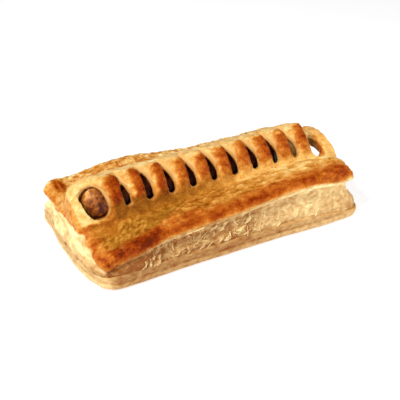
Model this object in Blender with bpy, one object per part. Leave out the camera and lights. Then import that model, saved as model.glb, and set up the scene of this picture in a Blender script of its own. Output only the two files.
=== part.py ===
"""Slashed sausage roll: a sausage baked between two sheets of puff pastry.

The base and the lid are slabs on one shared plan.  Their walls follow a short profile of heights and
insets, and the lid's top follows height formulas: a crust that rolls over its edge, a flat shoulder
on each side and a ridge over the sausage.  Boolean cutters then open the lid: the tunnel that the
sausage lies in, the nine slits that leave ten strips, and the wider window beside each end.
X runs along the roll, Y across it and Z up.
"""

import math

import bmesh
import bpy
from mathutils import Matrix, Vector, noise

MM = 0.001
GAP = 0.3 * MM                # between pieces that touch

# Plan, over the widest part of the base
HALF_LENGTH = 77.8 * MM       # at the corners
HALF_WIDTH = 42.3 * MM
LEFT_BULGE = 3.7 * MM         # the ends bow out in the middle
RIGHT_BULGE = 3.3 * MM
LEFT_CORNER = 9.0 * MM        # corner radii of the walls
RIGHT_CORNER = 5.0 * MM
UNEVENNESS = 0.6 * MM

# The base
BASE_THICKNESS = 8.6 * MM
BASE_THINNING = 3.4 * MM      # towards the right end

# The lid's crust and shoulders; the front rises from left to right
FRONT_CREST = 27.2 * MM
FRONT_CLIMB = 4.4 * MM        # gained from the middle to an end
BACK_CREST = 22.4 * MM
BACK_HUMP = 5.8 * MM          # one long hump along the left half of the back
BACK_HUMP_AT = -31.0 * MM
CRUST_IN = 1.3 * MM           # the lip stands this far in from the base
CORNER_IN = 1.1 * MM          # and this much more at the front right corner
CRUST_ROLL = 6.5 * MM         # width over which the crust rolls down to its lip
CRUST_DROP = 4.0 * MM
LEFT_ROLL = 4.0 * MM
LEFT_DROP = 4.0 * MM
RIGHT_ROLL = 11.0 * MM
RIGHT_DROP = 8.8 * MM
LIP_THICKNESS = 1.7 * MM
RECESS = 1.9 * MM             # the wall draws in under the lip

# The ridge over the sausage, half an ellipse in section
RIDGE_HALF_WIDTH = 18.0 * MM
LOOP_WIDENING = 1.9 * MM
RIDGE_SPRING = 21.3 * MM
RIDGE_CREST = 41.6 * MM
NOSE_START = -57.0 * MM       # the left end rounds down from here
NOSE_LENGTH = 20.8 * MM
NOSE_FOOT = 24.0 * MM
NOSE_SKEW = 0.008 / MM        # it lies back on the far side
LOOP_START = 61.5 * MM        # the ridge steps down to the low loop at the right end
LOOP_END = 71.5 * MM
LOOP_CREST = 33.8 * MM
FILLET = 3.0 * MM

# Slits, in degrees round the ridge's section from its back foot
SLIT_FIRST = -49.9 * MM
SLIT_PITCH = 12.87 * MM
SLIT_WIDTHS = (1.4, 2.0, 1.6, 1.8, 1.75, 2.0, 1.75, 1.85, 1.6)      # half widths in mm, from the left
SLIT_THROUGH = (0.42, 0.62, 0.52, 0.50, 0.58, 0.55, 0.53, 0.60, 0.40)   # share cut right through
SLIT_LEAN = -0.9 * MM
SLIT_FLARE = 3.9 * MM         # width of the rounded edge on a slit's right side
SLIT_FRONT = 154.0
SLIT_BACK = 78.0
# Windows: centre, half width, front and back of the cut in degrees
LEFT_WINDOW = (-66.6 * MM, 7.2 * MM, 163.0, 95.0)
RIGHT_WINDOW = (68.3 * MM, 3.1 * MM, 155.0, 97.0)
WINDOW_FLARE = 2.3 * MM
ALL_THROUGH = 1.3             # a window has no shallow end

# Sausage and tunnel
SAUSAGE_RADIUS = 11.0 * MM
SAUSAGE_LEFT = -71.5 * MM
SAUSAGE_RIGHT = 50.0 * MM
SAUSAGE_AXIS = 26.4 * MM
TUNNEL_SLACK = 0.55 * MM
# The empty end of the tunnel, at the right window and where it comes out under the loop: half width
# and half height of its oval, and the height of its axis
END_ROOM = (12.2 * MM, 8.2 * MM, 22.9 * MM)
END_HOLE = (10.0 * MM, 4.6 * MM, 18.2 * MM)

ROUND_SIDES = 22
SAUSAGE_RINGS = 20
SHARP_ANGLE = math.radians(50.0)


# ---------------------------------------------------------------- number helpers

def swell(value, centre, width):
    """A smooth bump of height 1 at centre."""
    return math.exp(-(((value - centre) / width) ** 2))


def ramp(value, start, end):
    """0 before start, 1 after end, smooth between."""
    share = min(max((value - start) / (end - start), 0.0), 1.0)
    return share * share * (3.0 - 2.0 * share)


def mix(a, b, share):
    return a + (b - a) * share


def quarter_round(share, power=2.0):
    """1 at share 0, falling to 0 at share 1 like a quarter of an ellipse."""
    return max(1.0 - min(max(share, 0.0), 1.0) ** power, 0.0) ** (1.0 / power)


def smooth_max(a, b, blend):
    """The larger of a and b, with the crease between them filled over the blend distance."""
    overlap = max(blend - abs(a - b), 0.0) / blend
    return max(a, b) + overlap * overlap * blend * 0.25


def waver(x, y, size, seed):
    """Slow natural unevenness between about -1 and 1."""
    return noise.noise(Vector((x / size, y / size, seed)))


# ---------------------------------------------------------------- plan shared by base and lid

def seam_height(x):
    return BASE_THICKNESS - BASE_THINNING * ramp(x, 45 * MM, 74 * MM) + 0.4 * MM * waver(x, 0, 24 * MM, 2)


def corner_radius(u):
    return LEFT_CORNER if u < 0 else RIGHT_CORNER


def round_corner(x, y, half_x, half_y, radius):
    """Pulls a point of a rectangle's square corner onto a round one."""
    dx, dy = abs(x) - (half_x - radius), abs(y) - (half_y - radius)
    if dx <= 0.0 or dy <= 0.0:
        return x, y
    shrink = max(dx, dy) / math.hypot(dx, dy)
    return (math.copysign(half_x - radius + dx * shrink, x),
            math.copysign(half_y - radius + dy * shrink, y))


def plan_point(x, y, inset, corner):
    """Where a point of the straight-sided slab lies once its sides are inset, rounded and bowed."""
    half_x, half_y = HALF_LENGTH - inset, HALF_WIDTH - inset
    u, v = x / HALF_LENGTH, y / HALF_WIDTH
    px, py = round_corner(u * half_x, v * half_y, half_x, half_y, corner)
    front_bow = 2.5 * MM * swell(px, 62 * MM, 32 * MM) - 0.5 * MM * swell(px, -27 * MM, 20 * MM)
    side = UNEVENNESS * waver(px, py, 26 * MM, 1) * abs(v) - front_bow * max(-v, 0.0)
    bulge = (LEFT_BULGE if u < 0 else RIGHT_BULGE) * (1.0 - v * v)
    wave = 0.8 * MM * swell(py, 38 * MM, 6 * MM) - 1.4 * MM * swell(py, 24 * MM, 8 * MM) if u < 0 else 0.0
    end = (bulge + wave + UNEVENNESS * waver(py, px, 22 * MM, 5)) * u
    return px + end, py + side


def stations_along():
    """X of the slab's columns: a line at each slit and each strip, and closer ones at the ends."""
    half_pitch = SLIT_PITCH / 2.0
    middle = [SLIT_FIRST + half_pitch * k for k in range(-2, 2 * len(SLIT_WIDTHS) + 1)]
    left = [-77.8, -77.0, -75.6, -73.8, -71.6, -69.0, -66.3]
    right = [68.5, 71.5, 74.0, 75.8, 77.0, 77.8]
    return [x * MM for x in left] + middle + [x * MM for x in right]


def stations_across():
    """Y of the slab's rows: closer at the crust's roll and at the foot and flanks of the ridge."""
    half = [42.3, 41.6, 40.2, 38.0, 35.4, 31.5, 27.0, 22.5, 19.8, 18.4, 17.0, 14.8, 12.0, 8.4, 4.2]
    return [-y * MM for y in half] + [0.0] + [y * MM for y in half[::-1]]


# ---------------------------------------------------------------- heights of the lid

def front_crest(x):
    droop = 1.9 * MM * swell(x, -78 * MM, 14 * MM)
    return FRONT_CREST + FRONT_CLIMB * x / HALF_LENGTH + 1.6 * MM * swell(x, 38 * MM, 26 * MM) - droop


def back_crest(x):
    corner = 2.2 * MM * swell(x, -71 * MM, 6 * MM)
    return BACK_CREST + BACK_HUMP * swell(x, BACK_HUMP_AT, 31 * MM) + corner


def shoulder_height(x, y):
    """The flat strip between the crust's crest and the ridge, before the crust rolls over."""
    inward = max(1.0 - abs(y) / (HALF_WIDTH - CRUST_ROLL), 0.0) * 2.0
    if y < 0:
        climb = -2.4 * MM * x / HALF_LENGTH - 0.2 * MM
        return front_crest(x) + climb * inward - 0.7 * MM * swell(y, -23 * MM, 4 * MM)
    return back_crest(x) - 2.6 * MM * inward


def roll_down(distance, width):
    """0 further in than width, and nearly 1 at the edge, like a quarter of a circle."""
    return 1.0 - quarter_round(0.985 * max(1.0 - distance / width, 0.0))


def crust_drop(x, y):
    """How far the crust has rolled down towards its lip."""
    sag = 3.4 * MM * swell(x, 65 * MM, 11 * MM) if y < 0 else 0.0
    side_drop = (CRUST_DROP + sag) * roll_down(HALF_WIDTH - abs(y), CRUST_ROLL)
    roll, drop = (LEFT_ROLL, LEFT_DROP) if x < 0 else (RIGHT_ROLL, RIGHT_DROP)
    return math.hypot(side_drop, drop * roll_down(HALF_LENGTH - abs(x), roll))


def ridge_crest(x, y=0.0):
    """Height of the ridge's section at x; the left nose lies back on the far side."""
    low = mix(RIDGE_CREST, LOOP_CREST, ramp(x, LOOP_START, LOOP_END))
    crest = low + 0.5 * MM * waver(x, 0, 19 * MM, 6)
    skew = NOSE_SKEW * (y + 9 * MM) ** 2
    nose = quarter_round((NOSE_START + skew - x) / NOSE_LENGTH, 2.2)
    return mix(NOSE_FOOT, crest, nose)


def ridge_half_width(x):
    return RIDGE_HALF_WIDTH + LOOP_WIDENING * ramp(x, LOOP_START, LOOP_END)


def ridge_height(x, y):
    across = abs(y) / ridge_half_width(x)
    if across >= 1.0:
        return 0.0
    return RIDGE_SPRING + (ridge_crest(x, y) - RIDGE_SPRING) * quarter_round(across)


def lid_height(x, y):
    sheet = shoulder_height(x, y) - crust_drop(x, y) + 0.3 * MM * waver(x, y, 9 * MM, 3)
    return smooth_max(sheet, ridge_height(x, y), FILLET)


# ---------------------------------------------------------------- solids

def new_object(name, mesh):
    bmesh.ops.recalc_face_normals(mesh, faces=mesh.faces)
    data = bpy.data.meshes.new(name)
    mesh.to_mesh(data)
    mesh.free()
    data.shade_smooth()
    data.set_sharp_from_angle(angle=SHARP_ANGLE)
    made = bpy.data.objects.new(name, data)
    bpy.context.scene.collection.objects.link(made)
    return made


def rim_cells(columns, rows):
    """The grid's outer cells in order, from the front left corner round to the right."""
    last_i, last_j = columns - 1, rows - 1
    front = [(i, 0) for i in range(last_i)]
    right = [(last_i, j) for j in range(last_j)]
    back = [(i, last_j) for i in range(last_i, 0, -1)]
    left = [(0, j) for j in range(last_j, 0, -1)]
    return front + right + back + left


def band(mesh, upper, lower):
    """A strip of faces between two closed rings of vertices."""
    for k in range(len(upper)):
        following = (k + 1) % len(upper)
        mesh.faces.new((upper[k], lower[k], lower[following], upper[following]))


def closing_faces(mesh, ring, columns, rows):
    """Closes a ring with one face across the slab between each pair of neighbouring columns."""
    spot = {cell: vertex for cell, vertex in zip(rim_cells(columns, rows), ring)}
    last_i, last_j = columns - 1, rows - 1
    left_end = [spot[0, j] for j in range(rows)]
    mesh.faces.new([spot[1, 0]] + left_end + [spot[1, last_j]])
    for i in range(1, last_i - 1):
        mesh.faces.new((spot[i, 0], spot[i, last_j], spot[i + 1, last_j], spot[i + 1, 0]))
    right_end = [spot[last_i, j] for j in range(rows)]
    mesh.faces.new([spot[last_i - 1, 0]] + right_end + [spot[last_i - 1, last_j]])


def wall_ring(mesh, xs, ys, height_and_inset, corner_scale=1.0):
    """One closed ring of the slab's wall."""
    ring = []
    for i, j in rim_cells(len(xs), len(ys)):
        height, inset = height_and_inset(xs[i], ys[j])
        x, y = plan_point(xs[i], ys[j], inset, corner_radius(xs[i]) * corner_scale)
        ring.append(mesh.verts.new((x, y, height)))
    return ring


def base():
    """The lower sheet: a slab with a rounded edge."""
    xs, ys = stations_along(), stations_across()[::3]
    mesh = bmesh.new()
    rings = [
        wall_ring(mesh, xs, ys, lambda x, y: (seam_height(x) - GAP, 1.7 * MM), 1.2),
        wall_ring(mesh, xs, ys, lambda x, y: (0.82 * seam_height(x), 0.5 * MM)),
        wall_ring(mesh, xs, ys, lambda x, y: (3.0 * MM, 0.0)),
        wall_ring(mesh, xs, ys, lambda x, y: (1.0 * MM, 0.5 * MM)),
        wall_ring(mesh, xs, ys, lambda x, y: (0.0, 1.7 * MM), 1.2),
    ]
    for upper, lower in zip(rings, rings[1:]):
        band(mesh, upper, lower)
    closing_faces(mesh, rings[0], len(xs), len(ys))
    closing_faces(mesh, rings[-1], len(xs), len(ys))
    return new_object("pastry_base", mesh)


def lip_inset(x, y):
    return CRUST_IN + CORNER_IN * ramp(x, 62 * MM, 77 * MM) * ramp(-y, 14 * MM, 40 * MM)


def lid():
    """The upper sheet before it is cut: a grid of heights over a wall that draws in under the lip."""
    xs, ys = stations_along(), stations_across()
    mesh = bmesh.new()
    top = {}
    for i, column in enumerate(xs):
        for j, row in enumerate(ys):
            x, y = plan_point(column, row, lip_inset(column, row), corner_radius(column) * 0.6)
            top[i, j] = mesh.verts.new((x, y, lid_height(column, row)))
    for i in range(len(xs) - 1):
        for j in range(len(ys) - 1):
            mesh.faces.new((top[i, j], top[i + 1, j], top[i + 1, j + 1], top[i, j + 1]))

    def level(share, recess):
        """A ring at a share of the way from the lip down to the seam, drawn in behind the lip by recess.

        The ridge's two ends have no lip, so nothing is drawn in there.
        """
        def height_and_inset(x, y):
            lip = lid_height(x, y) - LIP_THICKNESS
            lip_line = mix(lip_inset(x, y), CRUST_IN, share)
            deeper = (1.0 + 0.5 * ramp(x, 50 * MM, 77 * MM)) * ramp(abs(y), 12 * MM, 21 * MM)
            return mix(lip, seam_height(x), share), lip_line + recess * deeper
        return height_and_inset

    rings = [
        [top[cell] for cell in rim_cells(len(xs), len(ys))],
        wall_ring(mesh, xs, ys, level(0.0, 0.0), 0.6),
        wall_ring(mesh, xs, ys, level(0.12, RECESS)),
        wall_ring(mesh, xs, ys, level(0.45, 0.9 * RECESS)),
        wall_ring(mesh, xs, ys, level(0.78, 0.0)),
        wall_ring(mesh, xs, ys, level(1.0, 0.4 * RECESS), 1.2),
    ]
    for upper, lower in zip(rings, rings[1:]):
        band(mesh, upper, lower)
    closing_faces(mesh, rings[-1], len(xs), len(ys))
    return new_object("pastry_lid", mesh)


def loft(name, rings):
    """A closed solid through rings of points, each with the same number."""
    mesh = bmesh.new()
    rows = [[mesh.verts.new(point) for point in ring] for ring in rings]
    for upper, lower in zip(rows, rows[1:]):
        band(mesh, upper, lower)
    mesh.faces.new(rows[0])
    mesh.faces.new(rows[-1])
    return new_object(name, mesh)


def oval_ring(x, half_y, half_z, axis):
    turn = 2.0 * math.pi / ROUND_SIDES
    return [(x, half_y * math.cos(turn * k), axis + half_z * math.sin(turn * k)) for k in range(ROUND_SIDES)]


def sausage():
    """A plump link with round ends, a little uneven along its length."""
    rings = []
    for k in range(SAUSAGE_RINGS + 1):
        share = (1.0 - math.cos(math.pi * k / SAUSAGE_RINGS)) / 2.0
        x = mix(SAUSAGE_LEFT, SAUSAGE_RIGHT, share)
        to_end = min(x - SAUSAGE_LEFT, SAUSAGE_RIGHT - x)
        cap = max(quarter_round(1.0 - to_end / (0.95 * SAUSAGE_RADIUS)), 0.15)
        radius = SAUSAGE_RADIUS * cap * (1.0 + 0.015 * waver(x, 0, 17 * MM, 8))
        rings.append(oval_ring(x, radius, radius, SAUSAGE_AXIS))
    return loft("sausage", rings)


# ---------------------------------------------------------------- cutters

def cut(body, cutter):
    cutter.hide_render = True
    cutter.display_type = "WIRE"
    boolean = body.modifiers.new(cutter.name, "BOOLEAN")
    boolean.operation = "DIFFERENCE"
    boolean.solver = "EXACT"
    boolean.object = cutter


def tunnel():
    """Room for the sausage, closed at the left; past the sausage it sinks to a low hole at the right end."""
    radius = SAUSAGE_RADIUS * 1.015 + TUNNEL_SLACK
    start = SAUSAGE_LEFT - 2.0 * TUNNEL_SLACK
    rings = []
    for offset in (0.0, 1.2 * MM, 3.5 * MM, 7.0 * MM, 12.0 * MM):
        cap = max(quarter_round(1.0 - offset / (0.9 * radius)), 0.3)
        rings.append(oval_ring(start + offset, radius * cap, radius * cap, SAUSAGE_AXIS))
    for x in (54 * MM, 60 * MM, 66 * MM, 72 * MM):
        low = ramp(x, 54 * MM, 72 * MM)
        half_y, half_z, axis = (mix(a, b, low) for a, b in zip((radius, radius, SAUSAGE_AXIS), END_ROOM))
        rings.append(oval_ring(x, half_y, half_z, axis))
    for x in (76.8 * MM, HALF_LENGTH + 2.0 * RIGHT_BULGE):
        rings.append(oval_ring(x, *END_HOLE))
    return loft("tunnel_cutter", rings)


def ridge_point(x, degrees, depth):
    """A point on the ridge's section at x, or below its surface by depth."""
    angle = math.radians(degrees)
    rise, half_width = ridge_crest(x) - RIDGE_SPRING, ridge_half_width(x)
    normal = Vector((0.0, math.cos(angle) / half_width, math.sin(angle) / rise)).normalized()
    surface = Vector((0.0, half_width * math.cos(angle), RIDGE_SPRING + rise * math.sin(angle)))
    return surface - normal * depth


def blade(name, x, half_width, front, back, lean, flare, through):
    """A cutter laid over the ridge, from its lower end in front to its upper end.

    It goes right through the lid over the share named by through, and rises to a shallow groove
    after it.  The flare rounds the cut edges, more on the right than on the left.
    """
    rings = []
    stations = 9
    for s in range(stations + 1):
        share = (1.0 - math.cos(math.pi * s / stations)) / 2.0
        belly = max(quarter_round(abs(2.0 * share - 1.0), 3.6), 0.15)
        shallow = ramp(share, through - 0.12, through + 0.2)
        wide = half_width * belly * mix(1.0, 0.4, shallow)
        spread = flare * belly * mix(1.0, 0.7, shallow) * mix(0.3, 1.0, ramp(share, 0.0, 0.45))
        outline = [
            (wide * 0.85, mix(8.0 * MM, 0.3 * MM + 1.5 * MM * belly, shallow)),
            (wide, mix(3.0 * MM, 0.2 * MM + 1.2 * MM * belly, shallow)),
            (wide + 0.25 * spread, mix(1.5 * MM, 0.1 * MM + 0.7 * MM * belly, shallow)),
            (wide + 0.6 * spread, mix(0.5 * MM, 0.3 * MM * belly, shallow)),
            (wide + spread, -0.15 * MM),
            (wide + 1.1 * spread, -3.0 * MM),
        ]
        middle = x + lean * share
        points = [ridge_point(x, mix(front, back, share), depth) for _, depth in outline]
        right = [p + Vector((middle + w, 0.0, 0.0)) for p, (w, _) in zip(points, outline)]
        left = [p + Vector((middle - min(w, wide) - 0.4 * max(w - wide, 0.0), 0.0, 0.0))
                for p, (w, _) in zip(points, outline)]
        rings.append(right + left[::-1])
    return loft(name, rings)


def cut_openings(body):
    cut(body, tunnel())
    for k, (half_width, through) in enumerate(zip(SLIT_WIDTHS, SLIT_THROUGH)):
        x = SLIT_FIRST + k * SLIT_PITCH
        cut(body, blade(f"slit_cutter_{k + 1}", x, half_width * MM, SLIT_FRONT, SLIT_BACK,
                        SLIT_LEAN, SLIT_FLARE, through))
    for name, (x, half_width, front, back) in (("left", LEFT_WINDOW), ("right", RIGHT_WINDOW)):
        cut(body, blade(f"{name}_window_cutter", x, half_width, front, back,
                        0.0, WINDOW_FLARE, ALL_THROUGH))


def centre(solids):
    """Moves everything so that the origin lies under the middle of the solids' bounding box."""
    spots = [vertex.co for solid in solids for vertex in solid.data.vertices]
    middle_x = (min(spot.x for spot in spots) + max(spot.x for spot in spots)) / 2.0
    middle_y = (min(spot.y for spot in spots) + max(spot.y for spot in spots)) / 2.0
    for obj in bpy.data.objects:
        obj.data.transform(Matrix.Translation((-middle_x, -middle_y, 0.0)))


# ---------------------------------------------------------------- materials

def paint(obj, colour, roughness):
    material = bpy.data.materials.new(obj.name)
    material.use_nodes = True
    shader = material.node_tree.nodes["Principled BSDF"]
    shader.inputs["Base Color"].default_value = (*colour, 1.0)
    shader.inputs["Roughness"].default_value = roughness
    shader.inputs["Metallic"].default_value = 0.0
    obj.data.materials.append(material)


def main():
    for obj in list(bpy.data.objects):
        bpy.data.objects.remove(obj, do_unlink=True)
    lower, upper, filling = base(), lid(), sausage()
    cut_openings(upper)
    centre([lower, upper, filling])
    paint(lower, (0.74, 0.47, 0.20), 0.6)
    paint(upper, (0.72, 0.40, 0.13), 0.5)
    paint(filling, (0.33, 0.13, 0.07), 0.45)


main()
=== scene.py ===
# %% [markdown]
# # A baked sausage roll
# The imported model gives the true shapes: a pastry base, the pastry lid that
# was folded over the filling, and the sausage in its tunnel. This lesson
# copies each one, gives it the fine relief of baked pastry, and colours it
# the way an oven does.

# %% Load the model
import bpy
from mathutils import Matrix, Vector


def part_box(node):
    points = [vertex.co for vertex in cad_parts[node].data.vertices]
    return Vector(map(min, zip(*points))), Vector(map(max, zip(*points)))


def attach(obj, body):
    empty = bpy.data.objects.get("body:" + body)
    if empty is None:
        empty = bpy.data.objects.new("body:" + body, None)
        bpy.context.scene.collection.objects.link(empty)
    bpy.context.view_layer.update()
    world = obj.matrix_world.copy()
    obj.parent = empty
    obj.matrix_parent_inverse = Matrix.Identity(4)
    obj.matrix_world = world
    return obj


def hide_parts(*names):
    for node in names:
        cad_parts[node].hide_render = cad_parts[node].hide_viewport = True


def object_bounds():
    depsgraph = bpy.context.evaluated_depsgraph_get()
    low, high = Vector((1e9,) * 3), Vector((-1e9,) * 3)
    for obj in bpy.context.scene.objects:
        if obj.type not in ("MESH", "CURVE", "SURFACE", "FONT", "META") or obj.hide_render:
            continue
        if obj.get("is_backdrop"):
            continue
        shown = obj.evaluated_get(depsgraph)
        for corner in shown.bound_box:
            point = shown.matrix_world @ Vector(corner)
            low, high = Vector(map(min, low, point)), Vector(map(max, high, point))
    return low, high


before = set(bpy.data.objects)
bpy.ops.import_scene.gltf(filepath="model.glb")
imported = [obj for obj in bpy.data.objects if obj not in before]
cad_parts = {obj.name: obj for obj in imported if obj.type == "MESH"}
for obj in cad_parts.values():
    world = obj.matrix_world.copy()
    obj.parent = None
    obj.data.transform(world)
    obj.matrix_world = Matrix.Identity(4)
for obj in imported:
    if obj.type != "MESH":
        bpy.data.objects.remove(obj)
cad_low, cad_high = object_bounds()
print("pieces to dress:", sorted(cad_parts))

# %% [markdown]
# ## Measures
# Blender counts in metres. Everything below is worked out in millimetres
# instead, from the middle of the roll, because pastry is easier to think
# about that way. The sausage lies along that middle and starts 71.5 mm to
# the left of it, so its box tells where the middle is.

# %% Measures
import math
from itertools import product

import bmesh
import bpy
import numpy as np
from mathutils import Vector

MM = 0.001
SAUSAGE_LEFT = -71.5
sausage_low, sausage_high = (np.array(corner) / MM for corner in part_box("sausage"))
MIDDLE = np.array([sausage_low[0] - SAUSAGE_LEFT, (sausage_low[1] + sausage_high[1]) / 2, 0.0])
AXIS_HEIGHT = (sausage_low[2] + sausage_high[2]) / 2
print("middle of the roll, mm:", MIDDLE.round(2), "axis height:", AXIS_HEIGHT.round(1))


# %% [markdown]
# ## Smooth steps
# Pastry has no hard borders between pale and brown, or between flat and
# raised. A border could be drawn with an if, but that leaves a hard line, so
# these four small functions blend one thing into another.

# %% Smooth steps
def ramp(value, start, end):
    """0 before start, 1 after end, smooth between."""
    share = np.clip((value - start) / (end - start), 0.0, 1.0)
    return share * share * (3.0 - 2.0 * share)


def swell(value, centre, width):
    """1 at the centre, fading to 0 on both sides over about the width."""
    return np.exp(-((value - centre) / width) ** 2)


def mix(a, b, share):
    """a where the share is 0, b where it is 1."""
    return a + (b - a) * share


def quarter_round(share, power=2.0):
    """1 at share 0, falling to 0 at share 1 like a quarter of an ellipse."""
    return (1.0 - np.clip(share, 0.0, 1.0) ** power) ** (1.0 / power)


print("a quarter and half of the way up a ramp:", ramp(2.5, 0.0, 10.0), ramp(5.0, 0.0, 10.0))


# %% [markdown]
# ## Random hills
# Dough is uneven in a soft way. A Displace modifier with a noise texture
# would do, but the same hills are needed again for the colours, so they are
# worked out here as numbers. A seed makes them come out the same every time,
# and a size of three numbers makes them longer in one direction.

# %% Random hills
def hills(points, size, seed):
    """Smooth random heights, about -1 to 1, one hill about every `size` millimetres."""
    dice = np.random.default_rng(seed)
    table = dice.permutation(256)
    slopes = dice.normal(size=(256, 3))
    slopes /= np.linalg.norm(slopes, axis=1)[:, None]
    spots = points / np.asarray(size, float)
    cell = np.floor(spots).astype(int)
    inside = spots - cell
    ease = inside ** 3 * (inside * (inside * 6 - 15) + 10)
    total = np.zeros(len(points))
    for corner in product((0, 1), repeat=3):
        i, j, k = (cell + corner).T
        pick = table[(table[(table[i & 255] + j) & 255] + k) & 255]
        share = np.where(corner, ease, 1 - ease).prod(axis=1)
        total += share * (slopes[pick] * (inside - corner)).sum(axis=1)
    return total * 1.8


def rough(points, size, seed, octaves=3):
    """Hills with smaller hills on them."""
    size = np.asarray(size, float)
    return sum(hills(points, size / 2 ** k, seed + k) / 2 ** k for k in range(octaves)) / 1.5


line = np.linspace(0.0, 20.0, 6)[:, None] * [1.0, 0.0, 0.0]
print("heights of some hills along a line:", hills(line + 0.5, 5.0, 1).round(2))


# %% [markdown]
# ## Folds, domes and layers
# Baked dough has three other marks: thin crooked folds, blisters that sit
# side by side, and the layers of a cut side. Folds are the places where the
# hills pass through zero. Domes grow round scattered seeds and stop where
# they meet: large numbers scatter those seeds, because a multiple of a large
# number, cut short, is as good as random. Layers rise and fall once in every
# whole number.

# %% Folds, domes and layers
SCATTER = (73856093, 19349663, 83492791, 2654435761)
SHUFFLE = (1, 7919, 104729)


def folds(points, size, seed):
    """Thin crooked crests, 1 on a crest and falling away on both sides."""
    warped = points + 1.2 * np.stack([hills(points, 4.0, seed + k) for k in (7, 8, 9)], axis=1)
    return np.clip(1.0 - 3.0 * np.abs(hills(warped, size, seed)), 0.0, 1.0)


def domes(points, size, seed):
    """Low domes packed side by side: 1 on top of each, 0 where they meet."""
    spots = points / np.asarray(size, float)
    cell = np.floor(spots).astype(int)
    nearest = np.full((2, len(points)), 9.0)
    for step in product((-1, 0, 1), repeat=3):
        i, j, k = (cell + step).T
        key = (i * SCATTER[0] ^ j * SCATTER[1] ^ k * SCATTER[2] ^ seed * SCATTER[3]) & 0xFFFFFF
        jitter = np.stack([((key * m) >> 7 & 1023) / 1023.0 for m in SHUFFLE], axis=1)
        gap = np.linalg.norm(cell + step + jitter - spots, axis=1)
        second = np.clip(gap, nearest[0], nearest[1])
        nearest = np.stack([np.minimum(nearest[0], gap), second])
    return np.clip(nearest[1] - nearest[0], 0.0, 1.0)


def layers(count):
    """1 at each whole number of layers, 0 halfway between."""
    return np.abs(count % 1.0 - 0.5) * 2.0


print("heights of some domes along a line:", domes(line + 0.5, 5.0, 1).round(2))


# %% [markdown]
# ## Points as arrays
# Moving a hundred thousand points one by one in Python is slow. Blender can
# hand all of them over at once as an array, and take them back the same way.

# %% Points as arrays
def read(items, field, width, kind=float):
    """One field of every vertex, edge, corner or face, as the rows of an array."""
    flat = np.empty(len(items) * width, kind)
    items.foreach_get(field, flat)
    return flat.reshape(-1, width)


def note(mesh, name, values):
    """Stores a number at each point for the material to read."""
    kept = mesh.attributes.new(name, "FLOAT", "POINT")
    kept.data.foreach_set("value", np.asarray(values, np.float32))


def add_object(name, data):
    """Puts a mesh, a lamp or a camera into the scene."""
    made = bpy.data.objects.new(name, data)
    bpy.context.scene.collection.objects.link(made)
    return made


lid_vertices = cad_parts["pastry_lid"].data.vertices
print("points of the lid's solid:", read(lid_vertices, "co", 3).shape)

# %% [markdown]
# ## Smoothing without shrinking
# A Smooth modifier rounds a mesh off, but it also shrinks it, and the part
# has to keep its size. So every second round here goes backward, nearly as
# far as the round before went forward: small bumps go, and the size stays.

# %% Smoothing without shrinking
SMOOTH_FORWARD, SMOOTH_BACKWARD = 0.6, -0.58


def smoothed(spots, edges, rounds):
    """Moves each point towards the mean of its neighbours, and a little less far back."""
    a, b = edges.T
    count = np.bincount(np.concatenate([a, b]), minlength=len(spots))[:, None]
    for step in range(rounds):
        sums = np.stack([np.bincount(a, spots[b, k], len(spots))
                         + np.bincount(b, spots[a, k], len(spots)) for k in range(3)], axis=1)
        reach = SMOOTH_FORWARD if step % 2 == 0 else SMOOTH_BACKWARD
        spots = spots + (sums / count - spots) * reach
    return spots


zigzag = np.array([[0.0, 0, 0], [1.0, 1, 0], [2.0, 0, 0], [3.0, 1, 0]])
steps = np.array([[0, 1], [1, 2], [2, 3]])
print("a zigzag of height 1 after six rounds:", np.ptp(smoothed(zigzag, steps, 6)[:, 1]).round(2))


# %% [markdown]
# ## An even skin
# A CAD solid has long thin triangles, which can't carry crumbs and blisters.
# Subdividing it would only make more thin ones, so a Remesh modifier turns a
# copy of it into small even faces, and the smoothing takes off their facets.
# `Skin` keeps that copy and lets the later steps read and move its points in
# millimetres.

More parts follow.
